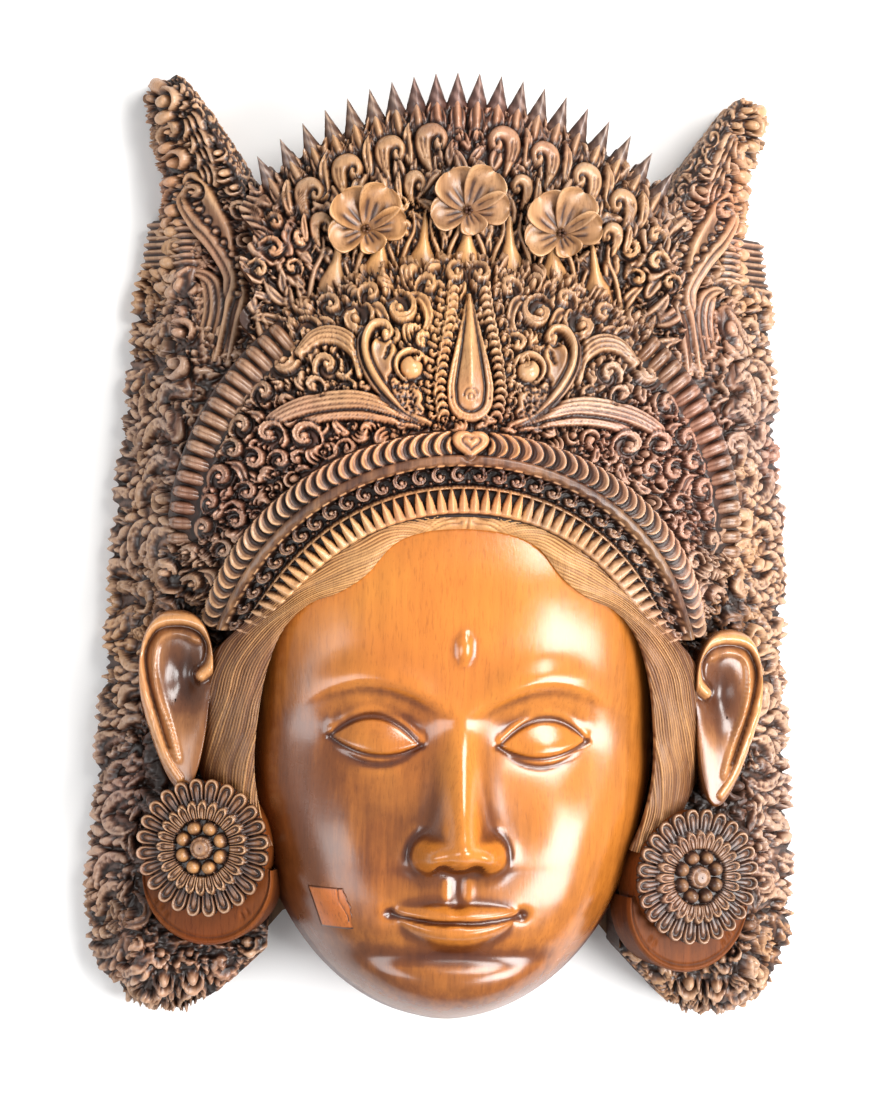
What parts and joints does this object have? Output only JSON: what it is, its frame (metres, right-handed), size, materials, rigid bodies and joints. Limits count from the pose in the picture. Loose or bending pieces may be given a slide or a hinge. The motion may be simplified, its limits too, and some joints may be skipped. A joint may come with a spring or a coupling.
{
  "type": "sita mask",
  "caption": "Large carved wooden Sita mask: calm smooth face under a tall leafy crown with horn-like wings, flared carved side walls, long ears and petalled ear discs, hollow behind.",
  "frame": {"origin": "centre of the footprint on the surface that the open back lies on", "axes": "+Z the way the face looks, +Y from chin to crown, +X the viewer's right"},
  "size_m": [0.402, 0.5174, 0.1406],
  "materials": {
    "mask_wood": "oiled and polished hardwood, dark in the carving's recesses",
    "patch_wood": "polished hardwood inlay, a little lighter"
  },
  "bodies": {
    "root": {"mask": "mask_wood", "cheek_patch": "patch_wood"}
  },
  "joints": []
}
